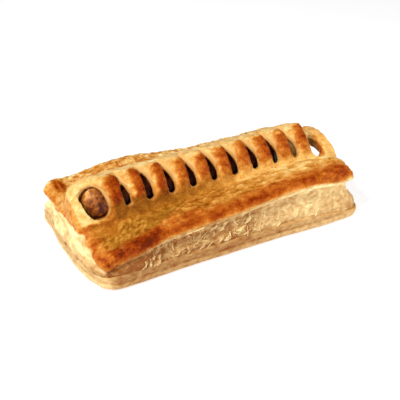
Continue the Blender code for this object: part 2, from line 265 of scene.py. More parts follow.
# %% An even skin
class Skin:
    """A copy of a CAD solid with an even mesh that can be pushed about."""

    def __init__(self, node, name, voxel, rounds):
        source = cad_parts[node]
        self.piece = add_object(name, source.data.copy())
        remesh = self.piece.modifiers.new("even skin", "REMESH")
        remesh.mode, remesh.voxel_size = "VOXEL", voxel * MM
        self.apply()
        edges = read(self.piece.data.edges, "vertices", 2, int)
        self.points = smoothed(self.points, edges, rounds)

    def apply(self):
        """Turns the modifiers into plain mesh."""
        view = bpy.context.evaluated_depsgraph_get()
        mesh = bpy.data.meshes.new_from_object(self.piece.evaluated_get(view))
        self.piece.modifiers.clear()
        self.piece.data = mesh

    @property
    def points(self):
        return read(self.piece.data.vertices, "co", 3) / MM - MIDDLE

    @points.setter
    def points(self, spots):
        self.piece.data.vertices.foreach_set("co", ((spots + MIDDLE) * MM).ravel())
        self.piece.data.update()

    @property
    def normals(self):
        return read(self.piece.data.vertices, "normal", 3)

    def push(self, height):
        """Moves each point along its normal by its height in millimetres."""
        self.points = self.points + self.normals * height[:, None]

    def note(self, name, values):
        """Stores a number at each point, kept between 0 and 1."""
        note(self.piece.data, name, np.clip(values, 0, 1))

    def thin_out(self, hidden, share):
        """Keeps only a share of the faces where hidden is true, and all of the others."""
        mesh = self.piece.data
        corners = read(mesh.loops, "vertex_index", 1, int).ravel()
        starts = read(mesh.polygons, "loop_start", 1, int).ravel()
        hidden_part = np.logical_and.reduceat(hidden[corners], starts).mean()
        group = self.piece.vertex_groups.new(name="hidden")
        group.add(np.flatnonzero(~hidden).tolist(), 0.0, "REPLACE")
        group.add(np.flatnonzero(hidden).tolist(), 1.0, "REPLACE")
        fewer = self.piece.modifiers.new("fewer", "DECIMATE")
        fewer.ratio, fewer.vertex_group = 1 - hidden_part * (1 - share), group.name
        self.apply()
        self.piece.vertex_groups.clear()

    def finish(self, material, slot, *nodes):
        """Gives the piece its material and smooth shading, hangs it under the root and hides the
        solids it stands for.
        """
        self.piece.data.materials.clear()
        self.piece.data.materials.append(material)
        self.piece.data.shade_smooth()
        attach(self.piece, "root")
        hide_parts(*nodes)
        triangles = sum(len(face.vertices) - 2 for face in self.piece.data.polygons)
        print(self.piece.name, "triangles:", triangles)


# %% [markdown]
# ## The lid's own lines
# To colour the lid by hand, one would follow its lines: the rolled edge, the
# ridge over the sausage, and the slits that cross it. Those areas could be
# painted with a brush in Weight Paint. Functions are used instead, because
# they give the same lines to any point: how far it lies from the edge of the
# roll, how high the rolled crust is beside it, and where the lid meets the
# base.

# %% The rolled edge
HALF_LENGTH, HALF_WIDTH = 77.8, 42.3
END_BULGE = 2.0


def gap_to_edge(x, y):
    """How far in from the edge of the roll a point lies."""
    return np.minimum(HALF_LENGTH + END_BULGE - np.abs(x), HALF_WIDTH - np.abs(y))


def edge_height(x, y):
    """Height of the lip of the rolled crust, at the place on the edge nearest to x, y."""
    to_end, to_side = HALF_LENGTH - np.abs(x), HALF_WIDTH - np.abs(y)
    front = 27.2 + 4.4 * x / HALF_LENGTH + 1.6 * swell(x, 38, 26) - 1.9 * swell(x, -78, 14)
    back = 22.4 + 5.8 * swell(x, -31, 31) + 2.2 * swell(x, -71, 6)
    crest = np.where(y < 0, front, back)
    near_side = 1 - ramp(to_side, 2.0, 9.0)
    near_end = 1 - ramp(to_end, 2.0, 9.0)
    sag = np.where(y < 0, 3.4 * swell(x, 65, 11), 0.0)
    end_drop = np.where(x < 0, 4.0, 8.8)
    return crest - np.hypot((4.0 + sag) * near_side, end_drop * near_end) * 0.86


def seam_height(x):
    """Height of the line where the lid meets the base."""
    return 8.6 - 3.4 * ramp(x, 45, 74)


print("height of the front lip, mm:", round(float(edge_height(0.0, -HALF_WIDTH)), 1))

# %% [markdown]
# The ridge is an arch over the sausage. It springs from the flat of the lid,
# drops to the low loop at the right end, and rounds off to a nose at the
# left. Nine slits cross it, at an even pitch. They lean a little, so the
# place of a slit changes with the angle round the arch.

# %% The ridge
RIDGE_SPRING, RIDGE_CREST, LOOP_CREST = 21.3, 41.6, 33.8
RIDGE_RADIUS = 19.0
LOOP_START, LOOP_END = 61.5, 71.5
SLIT_FIRST, SLIT_PITCH = -49.9, 12.87
SLIT_FRONT, SLIT_BACK = 154.0, 78.0


def ridge_half_width(x):
    """Half the width of the arch at its foot, a little more at the loop."""
    return 18.0 + 1.9 * ramp(x, LOOP_START, LOOP_END)


def ridge_crest(x, y):
    """Height of the top of the arch."""
    crest = mix(RIDGE_CREST, LOOP_CREST, ramp(x, LOOP_START, LOOP_END))
    nose = quarter_round((-57.0 + 0.008 * (y + 9.0) ** 2 - x) / 20.8, 2.2)
    return mix(24.0, crest, nose)


class Ridge:
    """Where points lie on the ridge.

    level is 1 on the surface of the arch and less inside it, depth is how far
    inside in millimetres, and angle goes from 0 at the back, over the top, to
    180 at the front. on is a mask. strip counts the strips from the left, and
    from_slit is how far to the right of the last slit a point lies.
    """

    def __init__(self, points):
        x, y, z = points.T
        across = y / ridge_half_width(x)
        up = np.maximum(z - RIDGE_SPRING, 0.0) / (ridge_crest(x, y) - RIDGE_SPRING)
        self.level = np.hypot(across, up)
        self.depth = (1.0 - self.level) * RIDGE_RADIUS
        self.angle = np.degrees(np.arctan2(up, across))
        slack = 0.5 * ramp(-x, 58.0, 64.0)
        above_spring = ramp(z, RIDGE_SPRING + 0.5, RIDGE_SPRING + 3.5)
        self.on = above_spring * (1 - ramp(self.level, 1.05 + slack, 1.15 + slack))
        along = np.clip((SLIT_FRONT - self.angle) / (SLIT_FRONT - SLIT_BACK), 0.0, 1.0)
        from_first = x + 0.9 * along - SLIT_FIRST
        self.strip = np.floor(from_first / SLIT_PITCH)
        self.from_slit = from_first - self.strip * SLIT_PITCH


print("height of the ridge and of the loop, mm:", RIDGE_CREST, LOOP_CREST)

# %% [markdown]
# The tunnel is a round room with a half ball at its left end. Past the
# sausage it changes to the wide, low mouth at the right end.

# %% The tunnel
TUNNEL_RADIUS, CAP_START = 11.7, -61.0


def tunnel_depth(points):
    """Less than 0 inside the room for the sausage."""
    x, y, z = points.T
    past_cap = np.minimum(x - CAP_START, 0.0)
    round_room = np.sqrt(y ** 2 + (z - AXIS_HEIGHT) ** 2 + past_cap ** 2) - TUNNEL_RADIUS
    end_room = (np.hypot(y / 12.2, (z - 22.9) / 8.2) - 1.0) * 9.0
    return mix(round_room, end_room, ramp(x, 54.0, 66.0))


axis_point = np.array([[0.0, 0.0, AXIS_HEIGHT]])
print("depth of the tunnel's axis, mm:", tunnel_depth(axis_point).round(1))

# %% [markdown]
# ## Masks for the lid
# A mask is a number at each point: 1 where something happens, 0 where it
# doesn't. The first masks tell the skin of the strips from the walls of the
# slits, of the window over the sausage's end and of the loop at the right.
# The walls lie deeper in the ridge than the skin does.

# %% Strips, slits and windows
WINDOW_X, LOOP_X = -66.6, 68.4
lid = Skin("pastry_lid", "lid_pastry", voxel=0.65, rounds=13)
p, n = lid.points, lid.normals
x, y, z = p.T
ridge = Ridge(p)
strip_left = mix(5.6, 1.1, ramp(ridge.angle, 94.0, 146.0))
in_strips = ramp(x, -61.0, -58.5) * (1 - ramp(x, 64.5, 66.5))
inner = 1.0 - ramp(tunnel_depth(p), 0.5, 1.3)
past_slit = ramp(ridge.from_slit, strip_left - 0.4, strip_left + 0.8)
near_slit = 1 - past_slit * ramp(SLIT_PITCH - ridge.from_slit, 2.0, 3.2)
window_reach = mix(10.6, 9.2, ramp(ridge.angle, 100.0, 150.0) * (x > WINDOW_X))
in_window = 1 - ramp(np.abs(x - WINDOW_X), window_reach - 0.6, window_reach + 0.6)
in_loop = 1 - ramp(np.abs(x - LOOP_X), 4.6, 5.4)
near_window = np.maximum(in_window, in_loop) * (1 - ramp(ridge.angle, 163.0, 166.0))
opened = np.maximum(near_slit * in_strips, near_window)
low_end = np.where(np.abs(x - WINDOW_X) < 10.0, 1 - ramp(ridge.angle, 164.0, 168.0),
                   1 - ramp(ridge.angle, 148.0, 156.0))
nose_slack = 1.6 * ramp(-x, 56.0, 62.0)
below_skin = ramp(ridge.depth, 0.35 + nose_slack, 1.1 + nose_slack)
slit_skin = ridge.on * below_skin * (1 - inner) * opened
slit_skin *= ramp(ridge.angle, 70.0, 76.0) * low_end
on_ridge = ridge.on * (1 - slit_skin) * (1 - inner)
print("lid points:", len(p), "on the ridge:", int(on_ridge.sum()))

# %% [markdown]
# The window over the sausage's end has a thick rolled rim. `window_ring` is
# an egg-shaped measure round that window: 1 at its edge and more further
# out. The window faces up and 30 degrees to the front, so the egg does too.

# %% Round the window
LEAN_COS, LEAN_SIN = 0.87, 0.5
from_window = p - [-67.0, -9.0, 36.0]
up_window = LEAN_COS * from_window[:, 1] + LEAN_SIN * from_window[:, 2]
out_window = LEAN_COS * from_window[:, 2] - LEAN_SIN * from_window[:, 1]
egg_height = np.where(up_window < 0, 10.4, 12.5)
window_ring = np.sqrt((from_window[:, 0] / 9.6) ** 2 + (up_window / egg_height) ** 2
                      + (out_window / 14.0) ** 2)
print("points inside the window's edge:", int((window_ring < 1).sum()))

# %% [markdown]
# The cut sides of the roll lie under the lip of the crust. A brown corner and
# a lip at the left end hang over that line, so they are taken off the sides.
# `top` is the rest of the lid: what the egg wash reached.

# %% Cut sides and top
to_edge = gap_to_edge(x, y)
at_edge = 1 - ramp(to_edge, 5.0, 8.0)
at_left_end = ramp(-x, 70.0, 74.0) * ramp(y, -41.0, -38.0)
left_line = (20.6 + 3.8 * ramp(y, -26.0, -15.0) * (1 - ramp(y, 4.0, 16.0))
             - 4.0 * ramp(-y, 24.0, 38.0))
crust_end = edge_height(x, y) - 2.6 * ramp(-x, 38.0, 58.0) * (y < 0)
under_lip = mix(crust_end, left_line, at_left_end) - z
side = at_edge * ramp(under_lip, -0.6, 1.0)
loop_end = ramp(x, 76.0, 78.5) * (np.abs(y) < 21.0) * ramp(n[:, 0], 0.6, 0.85)
side = np.maximum(side * (1 - loop_end), loop_end)
corner = ramp(-x, 69.0, 73.0) * ramp(-y, 33.0, 37.0)
corner *= 1 - ramp(under_lip + 1.2 * hills(p, 3.0, 9), 1.5, 4.0)
left_lip = ramp(-x, 72.0, 75.0) * (y < 36.0)
left_lip *= 1 - ramp(under_lip + 0.6 * hills(p, 4.0, 8), 0.6, 2.0)
side *= 1 - corner
side *= 1 - left_lip
top = (1 - side) * (1 - inner)
print("share of the lid that is cut side:", round(float(side.mean()), 2))

# %% [markdown]
# In front of the ridge the top is flat. The blistered band runs along it,
# and the rolled rim along the band. `ahead` and `into_rim` tell how far past
# the start of each a point lies. The back has only a rim.

# %% Flat, band and rims
band_line = (-18.6 - 16.5 * ramp(-x, 12.0, 60.0) - 3.0 * ramp(x, 58.0, 66.0)
             + 0.8 * hills(p, 7.0, 10))
ahead = band_line - y
rim_line = (-34.6 + 4.6 * swell(x, -24.0, 18.0) + 3.2 * ramp(x, -10.0, 20.0)
            - 2.2 * ramp(-x, 50.0, 64.0))
into_rim = rim_line - y
flat = top * (y < -12.0) * (1 - on_ridge)
front_band = top * ramp(ahead, 0.0, 1.5) * (y < 0)
back_rim = top * ramp(y, 24.0, 30.0)
right_part = ramp(x, -15.0, 30.0)
print("points on the flat and on the band:", int(flat.sum()), int(front_band.sum()))

# %% [markdown]
# ## Relief of the ridge
# Steam lifts each strip into a pillow between its slits, and rolls the rim of
# the window outward. This could be sculpted, but a brush can't make so many
# strips alike. Each effect is a height in millimetres, and the masks say
# where it counts.

# %% Relief of the ridge
strip_width = SLIT_PITCH - 0.8 - strip_left
across_strip = np.clip((ridge.from_slit - strip_left) / strip_width, 0.0, 1.0)
pillow = (1 - np.abs(2 * across_strip - 1) ** 2.4) * ramp(ridge.angle, 82.0, 100.0)
pillow *= 1 - 0.8 * ramp(ridge.angle, 140.0, 165.0)
nose_roll = on_ridge * ramp(-x, 55.0, 59.0)
loop_face = ramp(-n[:, 0], 0.25, 0.7) * ramp(x, 67.0, 69.0) * (1 - ramp(x, 75.0, 76.0))
loop_face *= ramp(z, 24.0, 27.0)
height = 1.7 * pillow * in_strips * on_ridge
height -= 1.6 * loop_face
height += nose_roll * (0.9 * swell(window_ring, 1.28, 0.2) - 0.7 * swell(window_ring, 1.72, 0.1))
height += 1.2 * swell(x, 60.5, 3.5) * swell(ridge.angle, 98.0, 14.0) * on_ridge
height += 0.25 * hills(p, 7.0, 11) * top * (1 - slit_skin)
print("highest relief so far, mm:", round(float(height.max()), 1))

# %% [markdown]
# ## Relief of the flat
# The egg wash blisters where it lies thick: large and small bubbles and torn
# fibres on the band, small bubbles on the back rim, fine wrinkles and the
# marks of the brush on the flat. A bump map could show all of it, but here
# the larger marks are real shapes, so that they catch the light.

# %% Relief of the flat
TURNED = np.array([[0.8, 0.6, 0.0], [-0.6, 0.8, 0.0], [0.0, 0.0, 1.0]])
blister = domes(p, (5.0, 3.0, 4.0), 12)
small_blister = domes(p + 0.5 * hills(p, 2.0, 17)[:, None], (2.4, 1.8, 2.4), 18)
blistered = 1 - 0.55 * ramp(x, 20.0, 45.0)
fibres = rough(p + 1.5 * hills(p, 9.0, 27)[:, None], (8.0, 1.7, 2.4), 13)
height += front_band * (blistered * (0.8 * blister - 0.3 + 0.5 * small_blister) + fibres)
band_step = front_band * 0.9 * (1 - ramp(ahead, 4.0, 11.0))
band_groove = 0.5 * swell(ahead, 0.0, 0.9) * top * (1 - on_ridge) * ramp(x, -45.0, -15.0)
height += band_step - band_groove
back_domes = domes(p, (3.6, 2.6, 3.0), 14)
height += back_rim * (1.1 * back_domes - 0.4)
wrinkle = folds(p * [0.45, 1.0, 1.0], 2.6, 19)
height += flat * 0.25 * wrinkle * (1 - front_band)
strokes = rough(p @ TURNED, (1.3, 5.0, 3.0), 20)
brushed = ramp(-x, 36.0, 52.0)
height += flat * 0.5 * strokes * brushed
print("deepest relief so far, mm:", round(float(height.min()), 1))

# %% [markdown]
# ## Relief of the cut sides
# A knife opens puff pastry into layers, and the oven curls and lumps them.
# The front wall is flaky in its middle, and the left end has deep folds.
# Fine crumbs cover the whole outside, and the ridge is pebbly along its top
# and down its back.

# %% Relief of the cut sides
layers_line = z + 1.3 * hills(p * [1, 1, 0], 14.0, 21)
ledges = layers(layers_line / 2.6 + 0.8 * hills(p, (8.0, 8.0, 4.0), 22))
lumps = domes(p, (4.6, 4.6, 3.2), 24)
curls = folds(p, (6.0, 6.0, 4.0), 25)
flaky = ramp(x, -58.0, -44.0) * (1 - ramp(x, 40.0, 52.0)) * ramp(under_lip, 0.5, 3.0)
height += side * (0.12 * ledges - 0.2 + 0.5 * lumps * (0.3 + 0.7 * flaky)
                  + 0.25 * curls * flaky)
end_wall = side * ramp(-x, 70.0, 74.0)
height += end_wall * (0.5 * folds(p, (5.0, 7.0, 4.0), 23) + 0.25 * ledges - 0.25)
height += 0.2 * rough(p, 2.4, 15, 2) * (1 - inner)
pebbles = domes(p, (2.6, 2.6, 2.6), 16)
height += 0.35 * pebbles * on_ridge * ramp(-ridge.angle, -128.0, -100.0)
print("mean height on the cut sides, mm:", round(float(height[side > 0.5].mean()), 2))

# %% [markdown]
# ## The seam
# The lid's wall swells out over the base and hides the seam, more so at the
# left end. Points that face the base inside the roll stay where they are, or
# the lid would push into the base: `lip_only` keeps them back.

# %% The seam
seam = seam_height(x)
low_wall = side * (1 - ramp(z, seam + 0.5, seam + 4.5))
at_left = ramp(-x, 55.0, 72.0) * (y < 22.0)
height += (0.9 + 0.6 * at_left) * low_wall
height += at_edge * 2.3 * swell(z, 13.8, 3.0) * ramp(-x, 42.0, 60.0)
height += 1.2 * side * ramp(x, 60.0, 72.0) * (1 - ramp(z, 7.0, 17.0))
height -= 2.0 * side * swell(z, 15.0, 3.6) * ramp(-x, 66.0, 74.0) * ramp(y, 22.0, 32.0)
lip_only = 1 - ramp(-n[:, 2], 0.5, 0.9) * ramp(to_edge, 1.5, 3.5) * (z < seam + 1.6)
lid.push(height * lip_only)
print("pushed by, mm:", round(float(height.min()), 1), "to", round(float(height.max()), 1))

# %% [markdown]
# Three moves don't follow the normals: the slits gape at their feet, the
# walls of the window lean, and the lip of the wall sinks over the seam. From
# here on p holds the moved points. x, y and z stay the places before the
# push, which all the masks were made from.

# %% Slits, window and lip
p = lid.points
from_middle = (ridge.from_slit + SLIT_PITCH / 2) % SLIT_PITCH - SLIT_PITCH / 2 - 0.3
off_middle = np.abs(from_middle)
slit_foot = in_strips * ridge.on * ramp(ridge.angle, 112.0, 142.0)
slit_foot *= 1 - ramp(ridge.angle, 148.5, 155.5)
gape = (1.1 + 0.3 * right_part) * np.sign(from_middle) * ramp(off_middle, 0.0, 0.3)
gape *= 1 - ramp(off_middle, 1.0, 4.5)
p[:, 0] += gape * slit_foot
window_lean = mix(0.3 - 0.17 * up_window, -2.3 - 0.23 * up_window, ramp(x, -74.0, -60.0))
p[:, 0] += window_lean * (1 - ramp(window_ring, 1.0, 1.67)) * ramp(x, -78.5, -74.0)
sink = lip_only * (1.0 + 0.5 * at_left) * side * (1 - ramp(z, seam, seam + 1.6))
p[:, 2] -= sink * ramp(-n[:, 2], -0.6, 0.2)
lid.points = p
print("slits gape by up to, mm:", round(float((gape * slit_foot).max()), 1))


# %% [markdown]
# ## How brown the lid is
# The oven browns what stands highest and what the egg wash covered: the
# strips and the rolled rim. One could paint that on an image, but an image
# needs a flat layout of the roll. Instead each point stores two numbers: how
# brown it is, and how golden, which is the olive brown of egg wash. They are
# built up in coats, as with a brush, from the palest to the brownest. A few
# coats also paint shade and highlight into these numbers, as said where they
# are laid.

# %% Coats of brown
class Browning:
    """How brown and how golden each point is, built up in coats."""

    def __init__(self, bake, gold):
        self.bake, self.gold = bake, gold

    def coat(self, where, bake, gold=None):
        """Covers what is there where the mask is 1."""
        self.bake = mix(self.bake, bake, where)
        if gold is not None:
            self.gold = mix(self.gold, gold, where)


spots = rough(p, (4.0, 3.0, 3.0), 39)
patches = hills(p, (8.0, 4.0, 4.0), 37)
pale_pebbles = 0.5 - domes(p, (2.6, 2.6, 2.6), 16)
crust = Browning(0.13 + 0.16 * spots + 0.12 * pale_pebbles, np.full(len(p), 0.35))
print("mean of the first coat:", round(float(crust.bake.mean()), 2))

# %% [markdown]
# The ridge is pale along its top, orange on the strips and golden at their
# feet. The brown of a strip starts a little to the right of its slit and a
# little lower or higher on each one, as if the egg wash had run. Across each
# strip the brown deepens towards its right side as painted shade on the
# pillow, and pales again at the very edge. An olive painted shade lies at
# the top of each slit.

# %% Brown on the ridge
STRIP_DRAWS = 16
to_right = ramp(x, -25.0, 25.0)
brown_left = mix(mix(6.2, 5.4, to_right), mix(4.4, 2.9, to_right), ramp(ridge.angle, 96.0, 142.0))
brown_left += 1.5 * ramp(-x, 50.0, 54.0) * (1 - ramp(ridge.angle, 120.0, 142.0))
from_wavy_slit = ridge.from_slit + 1.2 * hills(p, 3.0, 36)
on_strip = ramp(from_wavy_slit, brown_left - 1.6, brown_left + 1.6)
strip_starts = np.random.default_rng(44).normal(0.0, 2.5, STRIP_DRAWS)
strip_start = strip_starts[(ridge.strip.astype(int) + 4) % STRIP_DRAWS]
high = ramp(ridge.angle + 8 * hills(p, 4.0, 31) + strip_start, 91.0, 107.0)
low = ramp(ridge.angle + 8 * hills(p, 5.0, 32), 134.0, 156.0)
browned = on_strip * in_strips * high * on_ridge * (1 - 0.8 * ramp(x, 61.2, 63.6))
# Painted shade: browner towards each strip's right side, where the pillow turns away from the key
# light, and paler at the very edge.
strip_brown_and_shade = (0.62 + 0.08 * ramp(-x, 10.0, 40.0) + 0.14 * ramp(across_strip, 0.05, 0.7)
              + 0.20 * spots - 0.22 * ramp(across_strip, 0.88, 1.0))
crust.coat(in_strips * high * on_ridge, 0.32 + 0.14 * spots)
crust.coat(browned, strip_brown_and_shade, gold=0.0)
foot = low * on_ridge * ramp(-y, 8.0, 12.0)
# Paler to the right, in part as painted light from that side.
foot_tone = 0.68 + 0.10 * ramp(-x, 15.0, 30.0) - 0.40 * right_part + 0.12 * spots
crust.coat(foot, foot_tone, gold=0.9)
# Painted shade: an olive shade at the top of each slit.
slit_top_shade = swell(ridge.from_slit, -0.3, 1.3) * swell(ridge.angle, 92.0, 11.0)
slit_top_shade = slit_top_shade * in_strips * on_ridge
crust.coat(0.75 * slit_top_shade, 0.72, gold=1.0)
print("share of brown strip:", round(float(browned.mean()), 3))

# %% [markdown]
# The flat of the lid is olive gold, and to the left it is paler and streaked
# by the brush. To the right it is paler too, in part as painted light from
# that side. On the band the tops of the blisters and the raised fibres are
# painted paler and the gaps between them darker, as painted highlight and
# shade. `USUAL_DOME` is about the mean height of a dome, so that the blisters
# make the band hardly darker or paler as a whole.

# %% Brown on the flat
USUAL_DOME = 0.42
# Paler to the right, in part as painted light from that side.
flat_tone = (0.78 - 0.58 * right_part + 0.16 * spots - 0.16 * wrinkle
             - brushed * (0.10 + 0.35 * strokes))
crust.coat(flat, flat_tone, gold=1.0)
on_band = front_band * ramp(ahead, 0.5, 3.0)
# Paler to the right, in part as painted light from that side.
crust.coat(on_band, 0.44 - 0.18 * right_part + 0.04 * ramp(-x, 30.0, 55.0), gold=0.7)
# Painted highlight and shade: blister tops and raised fibres paler, the gaps between the blisters
# darker.
blister_highlight_and_shade = 0.36 * (USUAL_DOME - blister) + 0.30 * (USUAL_DOME - small_blister)
crust.bake += on_band * (blistered * blister_highlight_and_shade + 0.16 * patches - 0.30 * fibres)
print("mean brown of the band:", round(float(crust.bake[on_band > 0.5].mean()), 2))

# %% [markdown]
# The rolled rim stands highest, so it is the brownest part, with a pale lower
# edge where it turns under. The front left corner is nearly as brown.

# %% Brown on the rim
rim = top * (y < 0) * ramp(into_rim + 1.8 * hills(p, (5.0, 3.0, 3.0), 33), -3.4, 2.6)
rim_tone = (0.86 + 0.08 * swell(x, -50.0, 10.0) + 0.12 * patches + 0.20 * spots
            - 0.10 * ramp(x, 15.0, 40.0) - 0.20 * ramp(x, 67.0, 76.0))
rim_tone -= 0.24 * ramp(under_lip + 1.2 * spots, -3.0, -0.4)
crust.coat(rim, rim_tone, gold=0.0)
turned_under = top * (y < 0) * (1 - ramp(to_edge, 3.0, 6.0)) * ramp(under_lip, -1.1, 0.3)
crust.coat(turned_under, 0.36)
left_brown = top * ramp(-x + 1.5 * spots, 69.5, 75.0) * ramp(-y, 16.0, 24.0)
corner_tone = 0.64 + 0.4 * spots + 0.22 * ramp(-z, -21.0, -17.0)
crust.coat(np.maximum(corner, left_brown), corner_tone, gold=0.0)
print("mean brown of the rim:", round(float(crust.bake[rim > 0.5].mean()), 2))

# %% [markdown]
# The back is golden, with brown spots on its rim, and browner down the slope
# between the rim and the ridge.

# %% Brown at the back
back_right = ramp(x, -10.0, 15.0)
back_tone = 0.20 - 0.04 * back_right + 0.5 * (USUAL_DOME - back_domes) + 0.4 * spots
crust.coat(back_rim, back_tone, gold=0.3)
crust.coat(back_rim * ramp(hills(p, 3.0, 34), 0.25, 0.6) * (1 - back_right), 0.58)
crust.coat(top * swell(y, 24.5, 3.5) * (1 - on_ridge), 0.60 - 0.25 * back_right)
print("mean brown of the back rim:", round(float(crust.bake[back_rim > 0.5].mean()), 2))

# %% [markdown]
# At the left end a cream roll runs round the window. It is orange along its
# outer foot and brown beside it, and a dark crease lies behind it.

# %% Brown at the left end
left_top = ramp(-x, 69.0, 74.0) * top * (y > -20.0) * (y < 34.0) * (1 - on_ridge)
crust.coat(left_top, 0.40 + 0.15 * spots)
from_crease = np.hypot((x + 70.4) / 3.0, (y - 30.0) / 5.5)
crease = top * (1 - on_ridge) * (1 - ramp(from_crease + 0.4 * spots, 0.4, 1.5))
crust.coat(crease, 0.95, gold=0.0)
on_nose = nose_roll * top
low_round = ramp(ridge.angle, 132.0, 148.0)
wide_left = ramp(-x, 65.0, 73.0) * (1 - 0.6 * ramp(ridge.angle, 145.0, 165.0))
roll_width = 1.07 + 0.48 * np.maximum(wide_left, 1 - ramp(ridge.angle, 95.0, 120.0))
past_roll = ramp(window_ring + 0.08 * spots, roll_width - 0.06, roll_width + 0.12)
on_roll = on_nose * (1 - past_roll) * (1 - browned)
beside = on_nose * (1 - browned) * (1 - on_roll) * ramp(ridge.angle, 100.0, 125.0)
crust.coat(beside, 0.50 + 0.18 * low_round + 0.2 * spots, gold=0.6)
crust.coat(beside * ramp(x, -66.0, -58.0), 0.66)
crust.coat(on_roll, 0.18 + 0.12 * spots)
roll_foot = on_nose * swell(window_ring, roll_width + 0.14, 0.12) * (x < -62.0) * (1 - low_round)
crust.coat(roll_foot, 0.46, gold=0.0)
left_edge = ramp(-x, 68.0, 72.0) * swell(under_lip, 0.3, 1.6) * (y < 36.0)
crust.coat(left_edge, 0.50 + 0.2 * spots, gold=0.0)
print("mean brown of the roll:", round(float(crust.bake[on_roll > 0.5].mean()), 2))

# %% [markdown]
# The loop at the right end is pale, with an orange lip and a brown patch low
# down on its inner face. Its shaded inside is painted paler still, as painted
# light. The tunnel is painted dark as shade, apart from the room inside the
# loop and the walls of the window.

# %% Brown on the loop
on_loop = ramp(x, 61.0, 64.0) * ridge.on
crust.coat(on_loop * (1 - browned), 0.24 + 0.05 * ramp(x, 73.0, 76.0) + 0.12 * spots)
loop_lip = on_loop * swell(x, 72.9, 1.5) * ramp(-y, 1.0, 5.0) * (1 - ramp(-y, 11.0, 14.0))
crust.coat(0.8 * loop_lip, 0.50 + 0.2 * spots)
loop_room = ramp(x, 59.0, 62.0)
loop_inside = np.maximum(loop_room * np.maximum(inner, slit_skin), loop_face)
face_tone = 0.62 * ramp(-z, -34.0, -31.0) * ramp(-y, 3.0, 8.0) * (1 - 0.6 * ramp(-y, 11.5, 14.5))
# Painted light: the shaded inside of the loop gets a pale tone, with the brown patch low on its
# face.
crust.coat(loop_inside, 0.12 + face_tone * loop_face, gold=0.0)
inner = inner * (1 - loop_room)
window_wall = ramp(-x, 60.0, 64.0) * ramp(z, 24.0, 28.0) * inner
inner = inner * (1 - window_wall)
cut_face = slit_skin * (1 - ramp(x, 61.0, 63.0)) * (1 - loop_face)
cut_face = np.maximum(cut_face, window_wall)
print("share of the lid that is browner than 0.6:", round(float((crust.bake > 0.6).mean()), 2))

# %% [markdown]
# ## The tone of the cut sides
# Dough that the knife opened stays raw looking. It is pale to the right and
# on the left face, tan in between, and painted paler just under the lip as
# painted light against the lip's shadow. Its lumps, curls and layers are
# painted paler than the gaps between them, as painted highlight and shade.
# Fine layers show at the left, and blocks of crumb at the right.

# %% Tone of the cut sides
left_face = ramp(-x, 72.0, 76.0)
tan_part = ramp(-x, 40.0, 58.0) * (1 - ramp(-x, 70.0, 74.0))
tone = 0.18 + 0.36 * ramp(x, -15.0, 50.0) - 0.18 * tan_part
face_pale = 0.28 + 0.36 * ramp(z, 9.0, 14.0) + 0.2 * hills(p, (6.0, 6.0, 3.0), 30)
# Painted light: a paler band just under the lip, against the lip's shadow.
painted_light_under_lip = 0.30 * swell(under_lip + 0.8 * hills(p, 5.0, 40), 1.6, 1.3) * (x > -74.0)
tone += face_pale * left_face + painted_light_under_lip
# Painted highlight and shade: paler on lumps, curls and layers, darker between them.
relief_highlight_and_shade = 0.05 * (ledges - 0.5) + 0.24 * (lumps - 0.4) + 0.16 * curls * flaky
tone += side * relief_highlight_and_shade + 0.16 * hills(p, 8.0, 38) + 0.12 * hills(p, 3.0, 28)
tone -= (0.10 + 0.04 * left_face) * (1 - ramp(z, 7.0, 12.0))
thin_layers = layers((z + 0.02 * x + 1.1 * hills(p * [1, 1, 0], 9.0, 26)) / 1.9)
layered = ramp(-x, 38.0, 50.0) * (1 - ramp(z, 15.0, 20.0)) * (1 - 0.6 * left_face)
tone += 0.26 * (thin_layers - 0.5) * layered
blocks = domes(p, (3.4, 3.4, 6.0), 29)
upper_right = ramp(x, 20.0, 50.0) * ramp(z, 11.0, 16.0)
tone += ramp(x, -5.0, 30.0) * (0.22 * (blocks - 0.35) + 0.05) + 0.07 * upper_right
print("mean tone of the cut sides:", round(float(tone[side > 0.5].mean()), 2))

# %% [markdown]
# ## Notes for the material
# The numbers go onto the mesh as attributes. After that the faces that no one
# sees, under the lid and deep in the tunnel, are made fewer.

# %% Notes for the material
lid.note("gold", crust.gold)
lid.note("bake", crust.bake)
lid.note("side", side)
lid.note("tone", tone)
lid.note("cut", np.maximum(cut_face, ramp(inner, 0.0, 0.3) * (x < 61.0)))
# Painted shade: the walls of the slits get darker with depth, faster low on the ridge.
shade = ramp(ridge.angle, 92.0, 125.0) * (x > -55.0)
lid.note("deep", (ridge.depth - mix(0.5, 0.3, shade)) / mix(6.5, 4.8, shade))
lid.note("inner", inner)
underside = (z < seam + 0.3) & (n[:, 2] < -0.5) & (to_edge > 4.0)
deep_inside = (inner > 0.99) & (x > -55.0) & (x < 58.0) & (z < 30.0)
lid.thin_out(underside | deep_inside, share=0.07)
print("lid points left:", len(lid.piece.data.vertices))

# %% [markdown]
# ## The base
# The base is a plain sheet of the same dough. Its edge shows two thick layers
# with a groove between them, and is golden where it touched the hot tray.
# The lid's tools do for it too, with gentler numbers.

# %% Relief of the base
LAYER_GAP = 4.6
base = Skin("pastry_base", "base_pastry", voxel=0.7, rounds=14)
p, n = base.points, base.normals
x, y, z = p.T
seam = seam_height(x)
edge = 1 - ramp(np.abs(n[:, 2]), 0.7, 0.95)
layers_line = z + 0.4 * hills(p * [1, 1, 0], 18.0, 41)
upper = ramp(z, seam - 3.5, seam - 0.8) * (1 - ramp(gap_to_edge(x, y), 2.0, 4.0))
height = edge * (0.2 * rough(p, (9.0, 9.0, 3.0), 42) - 0.2 * swell(layers_line, LAYER_GAP, 0.6))
height += 0.9 * upper * edge
base.push(height)
p = base.points
p[:, 2] += (0.8 + 0.5 * ramp(-x, 55.0, 72.0)) * upper
base.points = p
print("base points:", len(p))

